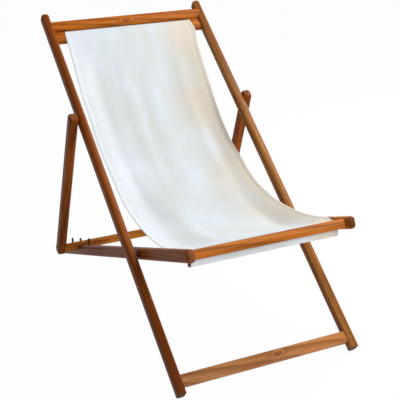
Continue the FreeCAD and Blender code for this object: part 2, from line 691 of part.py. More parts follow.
def sling_front_rod(grow=0.0):
    """The lower rod, slipped a little to the left in its pocket."""
    reach = canvas_half + FRONT_ROD_PAST_CANVAS
    middle = front_rod_middle()
    return rod_x(FRONT_ROD_DIAMETER / 2 + grow, -reach - FRONT_ROD_SLIP, reach - FRONT_ROD_SLIP,
                 middle.y, middle.z)


def hardware():
    """Bolts, spacers, washers and nuts of both pivots, a left and a right solid in each node."""
    spacer_low = seat_outer + TURNING_GAP
    prop_spacer_high = prop_inner - TURNING_GAP
    at_seat = {"seat_pivot_bolts": pivot_bolt(seat_bolt_head, seat_bolt_tip),
               "seat_pivot_spacers": ring(SPACER_DIAMETER, spacer_low, back_inner),
               "seat_pivot_washers": ring(WASHER_DIAMETER, seat_washer_x - TURNING_GAP,
                                          seat_washer_x + WASHER_THICKNESS - TURNING_GAP),
               "seat_pivot_nuts": hex_nut(seat_washer_x - NUT_HEIGHT - TURNING_GAP)}
    at_prop = {"prop_pivot_bolts": pivot_bolt(prop_bolt_head, prop_bolt_tip),
               "prop_pivot_spacers": ring(SPACER_DIAMETER, back_outer, prop_spacer_high),
               "prop_pivot_washers": ring(WASHER_DIAMETER, prop_washer_x,
                                          prop_washer_x + WASHER_THICKNESS),
               "prop_pivot_nuts": hex_nut(prop_washer_x - NUT_HEIGHT)}
    placed = {}
    for name, shape in at_seat.items():
        placed[name] = on_back(pair(moved_along(shape, SEAT_PIVOT_ALONG_BACK)))
    for name, shape in at_prop.items():
        placed[name] = on_back(pair(moved_along(shape, PROP_PIVOT_ALONG_BACK)))
    return placed


def pivot_plugs():
    """Wooden plugs over the bolt heads and the upper nuts, faired with the rails around them."""
    seat_head = moved_along(plug_blank(back_outer - PLUG_THICKNESS, back_outer), SEAT_PIVOT_ALONG_BACK)
    prop_nut = moved_along(plug_blank(back_inner, back_inner + PLUG_THICKNESS), PROP_PIVOT_ALONG_BACK)
    prop_head = plug_blank(prop_outer - PLUG_THICKNESS, prop_outer + PLUG_THICKNESS)
    rail = back_blank()
    return {"seat_pivot_plugs": on_back(pair(seat_head.common(rail))),
            "prop_pivot_inner_plugs": on_back(pair(prop_nut.common(rail))),
            "prop_pivot_outer_plugs": on_prop(pair(prop_head.common(prop_blank())))}


def build():
    parts = {}
    for name, side in SIDES:
        parts["back_rail_" + name] = back_rail(side)
        parts["seat_rail_" + name] = seat_rail(side)
        parts["prop_leg_" + name] = prop_leg(side)
        pegs = [sided(recline_peg(y), side) for y in peg_places]
        parts["recline_pegs_" + name] = on_seat(Part.makeCompound(pegs))
    parts["head_rail"] = head_rail()
    parts["head_slat"] = head_slat()
    parts["foot_board"] = foot_board()
    parts["front_rail"] = front_rail()
    parts["front_slat"] = front_slat()
    parts["rear_rail"] = rear_rail()
    parts["prop_crossbar"] = prop_crossbar()
    parts["back_frame_pins"] = on_back(Part.makeCompound(both_sides(back_pins())))
    parts["seat_frame_pins"] = on_seat(Part.makeCompound(both_sides(seat_pins())))
    parts["prop_frame_pins"] = on_prop(Part.makeCompound(both_sides([prop_pin()])))
    parts.update(hardware())
    parts.update(pivot_plugs())
    parts["sling"] = sling()
    parts["sling_top_rod"] = sling_top_rod()
    parts["sling_front_rod"] = sling_front_rod()
    return parts


def centred(parts):
    """Move the chair so that the origin lies on the floor below the middle of its box."""
    rails = [parts["seat_rail_left"], parts["back_rail_left"]]
    front = min(shape.optimalBoundingBox(False).YMin for shape in rails)
    rear = max(shape.optimalBoundingBox(False).YMax for shape in rails)
    middle = (front + rear) / 2
    for shape in parts.values():
        shape.translate(Vector(0, -middle, 0))
    return middle


parts = build()
middle = centred(parts)
print("seat pivot", round(seat_pivot_y - middle, 3), round(seat_pivot_z, 3))
print("prop pivot", round(prop_pivot_y - middle, 3), round(prop_pivot_z, 3))
print("pegs", [round(y, 1) for y in peg_places], "rear rail", round(rear_rail_y, 1))
print("slopes: seat", round(seat_angle, 3), "prop", round(prop_angle, 3), "shift", round(middle, 3))
os.makedirs("parts", exist_ok=True)
for name, shape in parts.items():
    if not shape.isValid():
        print("not valid:", name)
    shape.exportStep("parts/" + name + ".step")
print(len(parts), "nodes")
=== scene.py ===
"""A folding sling deck chair, dressed: oiled timber frames and one hanging length of cotton canvas.

Metres. X runs across the chair, the sitter faces -Y, Z is up and the floor is Z = 0.
"""
import json
import math

import bmesh
import bpy
from mathutils import Matrix, Vector


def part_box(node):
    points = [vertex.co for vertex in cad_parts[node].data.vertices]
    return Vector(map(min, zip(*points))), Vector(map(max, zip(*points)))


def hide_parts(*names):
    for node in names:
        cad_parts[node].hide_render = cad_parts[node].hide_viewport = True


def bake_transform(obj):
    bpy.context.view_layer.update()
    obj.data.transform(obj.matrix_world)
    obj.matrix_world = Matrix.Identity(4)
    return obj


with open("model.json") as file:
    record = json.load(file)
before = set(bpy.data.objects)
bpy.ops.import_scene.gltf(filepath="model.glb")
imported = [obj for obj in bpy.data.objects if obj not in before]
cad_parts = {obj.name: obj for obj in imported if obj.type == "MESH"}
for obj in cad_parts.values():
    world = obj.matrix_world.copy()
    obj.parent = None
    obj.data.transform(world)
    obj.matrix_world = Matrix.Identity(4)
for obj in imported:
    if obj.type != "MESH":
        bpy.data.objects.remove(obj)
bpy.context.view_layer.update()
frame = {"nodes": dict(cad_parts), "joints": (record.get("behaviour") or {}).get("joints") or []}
nodes = frame["nodes"]
pivots = {joint["name"]: Vector(joint["pos_m"]) for joint in frame["joints"]}
bpy.ops.object.select_all(action="DESELECT")

# How the three frames lean, as slopes in the YZ plane
BACK_LEAN = math.radians(41.6)
SEAT_SLOPE = -17.893
SEAT_LEAN = math.radians(SEAT_SLOPE)
PROP_LEAN = math.radians(-64.81)
SEAT_PIVOT_ALONG_BACK = 0.4187


# Places on the frames

def on_back(along, height):
    """A point of the back frame, from its foot up along the rails and out of their face."""
    foot = pivots["seat_fold"] - SEAT_PIVOT_ALONG_BACK * slope_way(BACK_LEAN)
    return foot + along * slope_way(BACK_LEAN) + height * slope_face(BACK_LEAN)


def on_seat(along, height):
    """A point of the seat frame, from its pivot towards the rear and up out of the rails."""
    return pivots["seat_fold"] + along * slope_way(SEAT_LEAN) + height * slope_face(SEAT_LEAN)


def slope_way(lean):
    return Vector((0, math.cos(lean), math.sin(lean)))


def slope_face(lean):
    return Vector((0, -math.sin(lean), math.cos(lean)))


# Shader building

def feed(tree, socket, value):
    """Gives a socket a plain value, or the output that drives it."""
    if isinstance(value, bpy.types.NodeSocket):
        tree.links.new(value, socket)
    else:
        socket.default_value = value


def place(tree, kind, inputs=None, **settings):
    """A shader node with its settings, each input given a value or linked to an output."""
    node = tree.nodes.new("ShaderNode" + kind)
    for name, value in settings.items():
        setattr(node, name, value)
    for name, value in (inputs or {}).items():
        feed(tree, node.inputs[name], value)
    return node


def calc(tree, operation, first, second=0.0, third=0.0):
    return place(tree, "Math", {0: first, 1: second, 2: third}, operation=operation).outputs[0]


def vector_calc(tree, operation, first, second=(0, 0, 0)):
    node = place(tree, "VectorMath", {0: first, 1: second}, operation=operation)
    return node.outputs["Value" if operation in ("LENGTH", "DOT_PRODUCT") else "Vector"]


def scaled_noise(tree, position, scale, detail=2.0, roughness=0.5, shift=(0, 0, 0)):
    """Noise stretched by a scale of its own along each axis."""
    stretched = place(tree, "Mapping", {"Vector": position, "Location": shift, "Scale": scale})
    inputs = {"Vector": stretched.outputs[0], "Scale": 1.0, "Detail": detail, "Roughness": roughness}
    return place(tree, "TexNoise", inputs).outputs["Fac"]


def ramp(tree, value, low, high, out_low=0.0, out_high=1.0):
    """A smooth step from one value to another."""
    inputs = {"Value": value, "From Min": low, "From Max": high, "To Min": out_low, "To Max": out_high}
    return place(tree, "MapRange", inputs, interpolation_type="SMOOTHSTEP").outputs[0]


def blend_colours(tree, factor, first, second):
    node = place(tree, "Mix", data_type="RGBA")
    for name, value in {"Factor_Float": factor, "A_Color": first, "B_Color": second}.items():
        feed(tree, next(socket for socket in node.inputs if socket.identifier == name), value)
    return next(socket for socket in node.outputs if socket.identifier == "Result_Color")


def bumped(tree, height, strength, depth, below=None):
    """The normal of a surface raised by a height, over a coarser normal where one is given."""
    inputs = {"Strength": strength, "Distance": depth, "Height": height}
    if below is not None:
        inputs["Normal"] = below
    return place(tree, "Bump", inputs).outputs[0]


def new_group(name, inputs, outputs):
    """A shader node group with named sockets, given as name and kind."""
    tree = bpy.data.node_groups.new(name, "ShaderNodeTree")
    for title, kind in inputs.items():
        tree.interface.new_socket(title, in_out="INPUT", socket_type="NodeSocket" + kind)
    for title, kind in outputs.items():
        tree.interface.new_socket(title, in_out="OUTPUT", socket_type="NodeSocket" + kind)
    return tree, tree.nodes.new("NodeGroupInput").outputs, tree.nodes.new("NodeGroupOutput")


def drive(tree, node, inputs):
    """Feeds the named inputs of a shader, or of a group's end."""
    for name, value in inputs.items():
        feed(tree, node.inputs[name], value)


def use_group(tree, group, inputs):
    return place(tree, "Group", inputs, node_tree=group).outputs


def object_place(tree):
    return place(tree, "TexCoord").outputs["Object"]


def new_material(name, **values):
    """A material with one Principled shader, its plain values set on the shader's own sockets."""
    material = bpy.data.materials.new(name)
    material.use_nodes = True
    tree = material.node_tree
    shader = tree.nodes["Principled BSDF"]
    for title, value in values.items():
        shader.inputs[title.replace("_", " ")].default_value = value
    return material, tree, shader


def rgb(red, green, blue):
    """A colour named in the eight-bit steps of a paint chart, as linear light."""
    def linear(step):
        share = step / 255
        return share / 12.92 if share <= 0.04045 else ((share + 0.055) / 1.055) ** 2.4
    return (linear(red), linear(green), linear(blue), 1.0)


# Timber. The tones of a wood are its palest streak, its middle and its late wood. ALONG_X stands in
# for a lean where a member runs across the chair, and each half is half a member's width and depth.

REDDISH = (rgb(182, 98, 32), rgb(134, 64, 14), rgb(60, 24, 4))
# Paler tones for the right back rail: partly the wood's own tone, partly a painted broad highlight down its
# face.
GOLDEN_WITH_PAINTED_HIGHLIGHT = (rgb(208, 140, 72), rgb(142, 82, 32), rgb(62, 30, 8))
ORANGE = (rgb(224, 136, 48), rgb(192, 100, 26), rgb(100, 42, 8))
PALE_BOARD = (rgb(222, 156, 98), rgb(194, 124, 70), rgb(128, 70, 34))
# A brighter copy of the orange tones for the prop crossbar: painted light on its forward and downward face.
ORANGE_WITH_PAINTED_LIGHT = (rgb(236, 150, 54), rgb(210, 116, 34), rgb(122, 54, 10))
DARK_ENDS = rgb(72, 42, 26)
OILED_ENDS = rgb(156, 100, 60)
ALONG_X = None
RAIL_HALF = (0.0125, 0.017)
PROP_LEG_HALF = (0.0135, 0.017)
CROSS_PIECE_HALF = (0.018, 0.018)
FRONT_RAIL_HALF = (0.0131, 0.0131)
REAR_RAIL_HALF = (0.010, 0.010)
NO_KNOT = Vector((50, 0, 0))
RINGS_PER_METRE = 230.0
RING_WANDER = 2.0
KNOT_PUSH = 1.6
END_FADE_FROM = 0.03
END_FADE_TO = 0.02
OIL_COAT = 0.16
GRIME_DULLS = 0.06


def make_wood_grain():
    """Growth rings, streaks, pores and one knot of a plank whose grain runs along X."""
    tree, given, sink = new_group(
        "wood_grain",
        {"Position": "Vector", "Pale": "Color", "Middle": "Color", "Dark": "Color",
         "Knot Place": "Vector", "Knot Size": "Float", "End Face": "Float", "End Tone": "Color"},
        {"Colour": "Color", "Shine": "Float", "Height": "Float"})
    position = given["Position"]
    from_knot = vector_calc(tree, "SUBTRACT", position, given["Knot Place"])
    drawn_out = vector_calc(tree, "MULTIPLY", from_knot, (0.45, 1.0, 1.0))
    knot_distance = calc(tree, "DIVIDE", vector_calc(tree, "LENGTH", drawn_out), given["Knot Size"])
    near_knot = ramp(tree, knot_distance, 3.2, 0.2)
    knot_core = ramp(tree, knot_distance, 0.62, 0.38)
    outside_core = ramp(tree, knot_distance, 0.35, 0.6)
    knot_rim = calc(tree, "MULTIPLY", ramp(tree, knot_distance, 0.9, 0.6), outside_core)

    drift = scaled_noise(tree, position, (2.0, 12.0, 12.0))
    flat = vector_calc(tree, "MULTIPLY", position, (0.02, 1.0, 1.0))
    from_pith = vector_calc(tree, "LENGTH", flat)
    ring_phase = calc(tree, "MULTIPLY", from_pith, RINGS_PER_METRE)
    ring_phase = calc(tree, "MULTIPLY_ADD", drift, RING_WANDER, ring_phase)
    ring_phase = calc(tree, "MULTIPLY_ADD", near_knot, KNOT_PUSH, ring_phase)
    ring = calc(tree, "FRACT", ring_phase)
    late_wood = calc(tree, "MULTIPLY", ramp(tree, ring, 0.25, 0.86), ramp(tree, ring, 1.0, 0.9))

    streak = scaled_noise(tree, position, (5.0, 150.0, 150.0), detail=3.0, roughness=0.6)
    band = scaled_noise(tree, position, (1.6, 32.0, 32.0), shift=(4.0, 7.0, 1.0))
    fibre = scaled_noise(tree, position, (22.0, 900.0, 900.0))
    pore = scaled_noise(tree, position, (55.0, 1500.0, 1500.0), detail=1.0, shift=(2.0, 5.0, 9.0))
    pore = ramp(tree, pore, 0.62, 0.72)

    tone = ramp(tree, band, 0.34, 0.66)
    colour = blend_colours(tree, tone, given["Middle"], given["Pale"])
    deep = ramp(tree, streak, 0.62, 0.38, 0.0, 0.75)
    colour = blend_colours(tree, deep, colour, given["Middle"])
    colour = blend_colours(tree, calc(tree, "MULTIPLY", late_wood, 0.5), colour, given["Dark"])
    dark_streak = calc(tree, "MULTIPLY", ramp(tree, streak, 0.58, 0.72), 0.6)
    colour = blend_colours(tree, dark_streak, colour, given["Dark"])
    colour = blend_colours(tree, calc(tree, "MULTIPLY", pore, 0.45), colour, given["Dark"])
    colour = blend_colours(tree, calc(tree, "MULTIPLY", knot_rim, 0.75), colour, given["Dark"])
    knot_heart = blend_colours(tree, 0.15, given["Dark"], given["Pale"])
    colour = blend_colours(tree, calc(tree, "MULTIPLY", knot_core, 0.8), colour, knot_heart)
    cut_end = blend_colours(tree, calc(tree, "MULTIPLY", late_wood, 0.5), given["End Tone"], given["Dark"])
    colour = blend_colours(tree, calc(tree, "MULTIPLY", given["End Face"], 0.8), colour, cut_end)

    shine = calc(tree, "MULTIPLY_ADD", streak, 0.22, 0.36)
    shine = calc(tree, "MULTIPLY_ADD", given["End Face"], 0.22, shine)
    height = calc(tree, "MULTIPLY_ADD", late_wood, 0.35, fibre)
    height = calc(tree, "MULTIPLY_ADD", pore, -0.8, height)
    height = calc(tree, "MULTIPLY", height, ramp(tree, given["End Face"], 0.0, 1.0, 1.0, 0.2))
    drive(tree, sink, {"Colour": colour, "Shine": shine, "Height": height})
    return tree


def make_edge_wear():
    """Where the long corners of a rectangular bar are rubbed, from its place within the bar."""
    tree, given, sink = new_group(
        "edge_wear",
        {"Across": "Vector", "Half Width": "Float", "Half Depth": "Float"},
        {"Worn": "Float", "Grime": "Float"})
    parts = place(tree, "SeparateXYZ", {"Vector": given["Across"]}).outputs
    side = calc(tree, "DIVIDE", calc(tree, "ABSOLUTE", parts["Y"]), given["Half Width"])
    face = calc(tree, "DIVIDE", calc(tree, "ABSOLUTE", parts["Z"]), given["Half Depth"])
    corner = calc(tree, "MULTIPLY", side, face)
    patch = scaled_noise(tree, given["Across"], (14.0, 60.0, 60.0), detail=3.0, roughness=0.6)
    corner = calc(tree, "MULTIPLY_ADD", patch, 0.24, corner)
    worn = ramp(tree, corner, 0.60, 0.82)
    dusk = scaled_noise(tree, given["Across"], (3.0, 12.0, 12.0), shift=(1.0, 2.0, 3.0))
    drive(tree, sink, {"Worn": worn, "Grime": ramp(tree, dusk, 0.52, 0.72)})
    return tree


wood_grain = make_wood_grain()
edge_wear = make_edge_wear()


def timber(name, lean, tones, half, pith, knot=None, knot_size=0.012, worn_corners=True,
           end_tone=OILED_ENDS, rubbed_edges=0.35):
    """The oiled wood of one member: its grain along the member, and its own place in the log."""
    low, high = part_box(name)
    middle = (Vector(low) + Vector(high)) / 2
    if lean is ALONG_X:
        turn = Matrix.Identity(3)
        reach = (high[0] - low[0]) / 2
    else:
        turn = Matrix((slope_way(lean), (-1, 0, 0), slope_face(lean)))
        corners = Vector(high) - Vector(low)
        reach = abs(corners.dot(Vector((0, abs(math.cos(lean)), abs(math.sin(lean)))))) / 2
    material, tree, shader = new_material("oiled_" + name, Specular_IOR_Level=0.02,
                                          Coat_Roughness=0.16, Coat_IOR=1.4)
    centred = {"Vector": object_place(tree), "Rotation": turn.to_euler(), "Location": -(turn @ middle)}
    within = place(tree, "Mapping", centred).outputs[0]
    in_log = vector_calc(tree, "ADD", within, pith)
    facing = place(tree, "TexCoord").outputs["Normal"]
    along_way = turn.transposed() @ Vector((1, 0, 0))
    facing_end = calc(tree, "ABSOLUTE", vector_calc(tree, "DOT_PRODUCT", facing, along_way))
    run = calc(tree, "ABSOLUTE", place(tree, "SeparateXYZ", {"Vector": within}).outputs["X"])
    near_end = ramp(tree, run, reach - END_FADE_FROM, reach - END_FADE_TO)
    end_face = calc(tree, "MULTIPLY", ramp(tree, facing_end, 0.45, 0.85), near_end)
    pale, mid, dark = tones
    knot_place = Vector(pith) + Vector(knot) if knot else NO_KNOT
    grain = use_group(tree, wood_grain, {
        "Position": in_log, "Pale": pale, "Middle": mid, "Dark": dark,
        "Knot Place": knot_place, "Knot Size": knot_size, "End Face": end_face, "End Tone": end_tone})
    wear = use_group(tree, edge_wear, {"Across": within, "Half Width": half[0], "Half Depth": half[1]})
    colour = grain["Colour"]
    if worn_corners:
        colour = blend_colours(tree, calc(tree, "MULTIPLY", wear["Worn"], rubbed_edges), colour, pale)
    colour = blend_colours(tree, calc(tree, "MULTIPLY", wear["Grime"], 0.22), colour, dark)
    oil = calc(tree, "MULTIPLY_ADD", wear["Grime"], -GRIME_DULLS, OIL_COAT)
    drive(tree, shader, {"Base Color": colour, "Roughness": grain["Shine"], "Coat Weight": oil,
                         "Normal": bumped(tree, grain["Height"], strength=0.35, depth=0.0004)})
    dress(name, material)


def dress(name, material):
    """Gives a CAD node its finish."""
    mesh = nodes[name].data
    if not mesh.materials:
        mesh.materials.append(material)
    for index in range(len(mesh.materials)):
        mesh.materials[index] = material


def dress_frames():
    timber("back_rail_left", BACK_LEAN, REDDISH, RAIL_HALF, pith=(0.3, 0.030, 0.024), end_tone=DARK_ENDS)
    # The right back rail's paler tones are partly a painted highlight.
    timber("back_rail_right", BACK_LEAN, GOLDEN_WITH_PAINTED_HIGHLIGHT, RAIL_HALF, pith=(1.9, -0.034, 0.020),
           end_tone=DARK_ENDS, rubbed_edges=0.7)
    timber("seat_rail_left", SEAT_LEAN, REDDISH, RAIL_HALF, pith=(3.1, 0.026, -0.030))
    timber("seat_rail_right", SEAT_LEAN, ORANGE, RAIL_HALF, pith=(4.7, 0.022, 0.036), end_tone=DARK_ENDS)
    timber("prop_leg_left", PROP_LEAN, REDDISH, PROP_LEG_HALF, pith=(5.3, -0.028, 0.026))
    timber("prop_leg_right", PROP_LEAN, REDDISH, PROP_LEG_HALF, pith=(6.9, 0.032, 0.018))
    cross_piece("head_rail", ORANGE, pith=(8.2, 0.020, 0.030),
                knot=(-0.008, -0.0168, 0.0018), knot_size=0.0052)
    cross_piece("front_rail", ORANGE, FRONT_RAIL_HALF, pith=(9.4, 0.028, 0.020))
    cross_piece("head_slat", ORANGE, pith=(10.6, 0.030, 0.022))
    cross_piece("front_slat", REDDISH, pith=(11.2, -0.026, 0.024))
    cross_piece("rear_rail", ORANGE, REAR_RAIL_HALF, pith=(12.8, 0.026, 0.022))
    cross_piece("foot_board", PALE_BOARD, pith=(13.5, 0.022, 0.040),
                knot=(0.034, -0.0066, 0.0078), knot_size=0.005)
    # The crossbar's brighter tones are painted light.
    cross_piece("prop_crossbar", ORANGE_WITH_PAINTED_LIGHT, pith=(14.9, 0.034, 0.020))
    plug_leans = {"seat_pivot_plugs": BACK_LEAN, "prop_pivot_inner_plugs": BACK_LEAN,
                  "prop_pivot_outer_plugs": PROP_LEAN}
    for name, lean in plug_leans.items():
        timber(name, lean, REDDISH, RAIL_HALF, pith=(16.2, 0.024, 0.018), worn_corners=False)


def cross_piece(name, tones, half=CROSS_PIECE_HALF, **grain):
    """The wood of a member that runs across the chair, where no corner is rubbed."""
    timber(name, ALONG_X, tones, half, worn_corners=False, **grain)


def make_dowel_finish():
    """Small dowels in a streaky dark brown: the recline pegs, the locking pins and the canvas rods."""
    material, tree, shader = new_material("dark_dowel", Specular_IOR_Level=0.1, Coat_Weight=0.08,
                                          Coat_Roughness=0.3)
    position = object_place(tree)
    streak = scaled_noise(tree, position, (40.0, 420.0, 260.0), detail=3.0)
    patch = scaled_noise(tree, position, (30.0, 30.0, 30.0))
    colour = blend_colours(tree, ramp(tree, streak, 0.35, 0.7), rgb(112, 48, 22), rgb(66, 26, 12))
    colour = blend_colours(tree, ramp(tree, patch, 0.55, 0.8, 0.0, 0.5), colour, rgb(118, 62, 34))
    drive(tree, shader, {"Base Color": colour, "Roughness": calc(tree, "MULTIPLY_ADD", streak, 0.3, 0.35),
                         "Normal": bumped(tree, streak, strength=0.3, depth=0.0002)})
    return material


def make_bronze():
    """Darkened bronze with lighter rubbed spots."""
    material, tree, shader = new_material("dark_bronze", Metallic=1.0)
    position = object_place(tree)
    rub = scaled_noise(tree, position, (260.0, 260.0, 260.0), detail=4.0, roughness=0.65)
    fine = scaled_noise(tree, position, (1800.0, 1800.0, 1800.0))
    colour = blend_colours(tree, ramp(tree, rub, 0.5, 0.72), rgb(62, 50, 40), rgb(138, 104, 68))
    drive(tree, shader, {"Base Color": colour, "Roughness": ramp(tree, rub, 0.35, 0.7, 0.52, 0.3),
                         "Normal": bumped(tree, fine, strength=0.25, depth=0.0001)})
    return material


def make_nylon():
    """Moulded dark brown nylon, faintly mottled and scuffed."""
    material, tree, shader = new_material("brown_nylon")
    position = object_place(tree)
    mottle = scaled_noise(tree, position, (500.0, 500.0, 500.0), detail=3.0)
    scuff = scaled_noise(tree, position, (90.0, 700.0, 700.0), shift=(3.0, 1.0, 2.0))
    colour = blend_colours(tree, ramp(tree, scuff, 0.6, 0.75, 0.0, 0.5), rgb(58, 40, 28), rgb(92, 70, 54))
    drive(tree, shader, {"Base Color": colour, "Roughness": calc(tree, "MULTIPLY_ADD", mottle, 0.25, 0.4),
                         "Normal": bumped(tree, mottle, strength=0.3, depth=0.0001)})
    return material


def dress_hardware():
    dowel = make_dowel_finish()
    bronze = make_bronze()
    nylon = make_nylon()
    for name in ("recline_pegs_left", "recline_pegs_right", "back_frame_pins", "seat_frame_pins",
                 "prop_frame_pins", "sling_top_rod", "sling_front_rod"):
        dress(name, dowel)
    for pivot in ("seat_pivot_", "prop_pivot_"):
        for part in ("bolts", "nuts", "washers"):
            dress(pivot + part, bronze)
        dress(pivot + "spacers", nylon)


# Canvas

CANVAS_HALF = 0.215
HEM_WIDTH = 0.009
FIELD_HALF_THICKNESS = 0.0005
FIELD_STEPS = 56
HEM_TOP = 0.00095
HEM_UNDER = 0.00075
HEM_STEP = 0.0006
HEM_SWELL_FROM_EDGE = 0.003
HEM_ROUND_FROM_EDGE = 0.0009
HEM_LIP_FROM_EDGE = 0.0003
SEAM_INSET = 0.0018
SEAM_HALF = 0.0006
SEAM_DENT_TOP = 0.00022
SEAM_DENT_UNDER = 0.00012
SEAM_BEFORE_HANG = 0.02
SEAM_PAST_HANG = 0.045
STITCH_PITCH = 0.0036
STITCH_LENGTH = 0.0026
STITCH_WIDTH = 0.00045
STITCH_HEIGHT = 0.00032
STITCH_SINK = 0.0001
SHEET_LIFT = 0.0008
SLAT_BEND = 0.0038
TOP_LOOP = 0.0068
FRONT_LOOP = 0.0058
LOOP_WRAP = 338
HEAD_SLAT_TOP = 1.2279
HEAD_SLAT_FACE = 0.003
SLAT_DEPTH = 0.036
SLAT_THICKNESS = 0.018
SLAT_ROUND = 0.003
FRONT_SLAT_EDGE = -0.319
FRONT_POCKET_DROP = 0.0207
HANG_SLOPES = (55.0, 26.9, 0.0, SEAT_SLOPE)
HANG_RADII = (0.585, 0.609, 0.654)
TOP_RUN = 0.2490
STEP = 0.008
BEND_STEP = 14
THREAD_SPACING = 0.0011

# Soft folds down the canvas. Each has its centre and sideways drift as shares of the half width, its
# width, its depth in metres, and the shares of the hang where it starts and ends.
FOLDS = (
    (-0.30, 0.10, 0.10, 0.0026, 0.0, 0.62),
    (0.12, -0.06, 0.12, 0.0022, 0.0, 0.55),
    (0.58, 0.16, 0.09, 0.0028, 0.02, 0.66),
    (-0.72, 0.05, 0.08, -0.0020, 0.04, 0.70),
    (0.80, -0.30, 0.10, -0.0022, 0.30, 1.0),
    (-0.55, 0.45, 0.12, 0.0020, 0.45, 1.0),
)

# Painted shade: random patches of a shaded white and soft bands of a greyer white down the cloth.
SHADED_WHITE = rgb(228, 233, 233)
CLEAN_WHITE = rgb(234, 242, 249)
BAND_SHADE_WHITE = rgb(224, 228, 224)
# Painted light: a brighter white down the left side of the cloth.
PAINTED_LIGHT_WHITE = rgb(240, 246, 252)
# Painted shade: a warm beige towards the right side of the cloth.
WARM_PAINTED_SHADE = rgb(229, 213, 186)
GAP_SHADE = rgb(176, 174, 166)
SLUB_WHITE = rgb(244, 242, 234)
# Painted shadow: a brown line along the top fold, where the head rail shades the cloth.
FOLD_PAINTED_SHADOW = rgb(132, 104, 84)


def turned(vector, degrees):
    """A vector of the YZ plane turned from +Y towards +Z."""
    return Matrix.Rotation(math.radians(degrees), 3, "X") @ vector


def hang_line():
    """The canvas from pocket to pocket: places, ways and lengths of its stations, in the YZ plane."""
    face = HEAD_SLAT_FACE
    rod_height = face - SLAT_THICKNESS - TOP_LOOP - SHEET_LIFT
    rod = on_back(HEAD_SLAT_TOP + SHEET_LIFT - TOP_LOOP, rod_height)
    leave = on_back(HEAD_SLAT_TOP + SHEET_LIFT, rod_height)
    point = rod + turned(leave - rod, -LOOP_WRAP)
    way = turned(slope_face(BACK_LEAN), -LOOP_WRAP)
    stations = [(point, way, 0.0)]

    def go(length):
        point, way, total = stations[-1]
        count = max(1, round(length / STEP))
        for part in range(1, count + 1):
            share = length * part / count
            stations.append((point + way * share, way, total + share))

    def bend(degrees, radius):
        point, way, total = stations[-1]
        side = 90 if degrees > 0 else -90
        centre = point + turned(way, side) * radius
        arc = abs(math.radians(degrees)) * radius
        count = max(math.ceil(abs(degrees) / BEND_STEP), round(arc / STEP))
        for part in range(1, count + 1):
            angle = degrees * part / count
            place_there = centre + turned(point - centre, angle)
            stations.append((place_there, turned(way, angle), total + arc * part / count))

    def go_to(target):
        point, way, total = stations[-1]
        go((target - point).dot(way))

    bend(LOOP_WRAP, TOP_LOOP)
    go_to(on_back(HEAD_SLAT_TOP + SHEET_LIFT, face - SLAT_ROUND))
    bend(90, SLAT_BEND)
    go_to(on_back(HEAD_SLAT_TOP - SLAT_DEPTH + SLAT_ROUND, face + SHEET_LIFT))
    bend(HANG_SLOPES[0] - math.degrees(BACK_LEAN), SLAT_BEND)
    hang_start = stations[-1][2]
    go(TOP_RUN)
    for slope, following, radius in zip(HANG_SLOPES, HANG_SLOPES[1:], HANG_RADII):
        bend(following - slope, radius)
    go_to(on_seat(FRONT_SLAT_EDGE + SLAT_DEPTH - SLAT_ROUND, SLAT_THICKNESS / 2 + SHEET_LIFT))
    hang_end = stations[-1][2]
    go_to(on_seat(FRONT_SLAT_EDGE + SLAT_ROUND, SLAT_THICKNESS / 2 + SHEET_LIFT))
    bend(90, SLAT_BEND)
    go_to(on_seat(FRONT_SLAT_EDGE - SHEET_LIFT, SLAT_ROUND - SLAT_THICKNESS / 2))
    bend(-math.degrees(SEAT_LEAN), SLAT_BEND)
    go(FRONT_POCKET_DROP)
    bend(LOOP_WRAP, FRONT_LOOP)
    return stations, hang_start, hang_end


hang, hang_start, hang_end = hang_line()


def smooth(value, low, high):
    share = min(1.0, max(0.0, (value - low) / (high - low)))
    return share * share * (3 - 2 * share)


def bell(value, centre, width):
    return math.exp(-((value - centre) / width) ** 2)


def fold(across, down, centre, drift, width, depth, first, last):
    """One soft fold that runs down the canvas and drifts sideways, raised towards the sitter."""
    gap = (across - centre - drift * (down - first)) / width
    starts = smooth(down, first, first + 0.12)
    return depth * math.exp(-gap * gap) * starts * (1 - smooth(down, last - 0.2, last))


def edge_lift(across, down):
    """How the two edges hang: the left sags before the seat, the right rides up over the slat."""
    left_ripple = 0.006 * bell(down, 0.455, 0.04)
    left_sag = 0.0105 * smooth(down, 0.50, 0.60) * (1 - smooth(down, 0.86, 0.93))
    right_ripple = 0.006 * bell(down, 0.47, 0.045)
    right_ride = 0.0095 * smooth(down, 0.58, 0.86) * (1 - smooth(down, 0.985, 1.012))
    left = left_ripple - left_sag
    right = right_ripple + right_ride
    return left * smooth(-across, 0.25, 1.0) + right * smooth(across, 0.55, 1.0)


def canvas_rise(across, total):
    """How far the canvas stands from its plain hang, towards the sitter. across is -1 to 1."""
    down = (total - hang_start) / (hang_end - hang_start)
    if down <= 0 or down >= 1.02:
        return 0.0
    if down >= 1:
        return edge_lift(across, down)
    held = smooth(down, 0.0, 0.16) * (1 - smooth(down, 0.80, 1.0))
    hollow = -0.009 * (1 - across * across) - 0.006 * (1 - smooth(abs(across), 0.62, 1.0))
    ripples = sum(fold(across, down, *shape) for shape in FOLDS)
    return held * hollow + ripples + edge_lift(across, down)


def canvas_sway(across, total):
    """How far the canvas stands sideways of its plain hang. across is -1 to 1."""
    down = (total - hang_start) / (hang_end - hang_start)
    left = -0.005 * smooth(down, -0.05, 0.0) * (1 - smooth(down, 0.18, 0.27))
    right = 0.0075 * bell(down, 0.012, 0.03)
    slipped = -0.003 * smooth(down, 0.90, 0.99)
    return slipped + left * smooth(-across, 0.4, 1.0) + right * smooth(across, 0.6, 1.0)


def canvas_point(station, across, offset):
    """A place on the canvas: across in metres from its middle, offset square to it, towards the sitter."""
    point, way, total = hang[station]
    upper = turned(way, -90)
    rise = canvas_rise(across / CANVAS_HALF, total)
    sway = canvas_sway(across / CANVAS_HALF, total)
    return point + upper * (rise + offset) + Vector((across + sway, 0, 0))


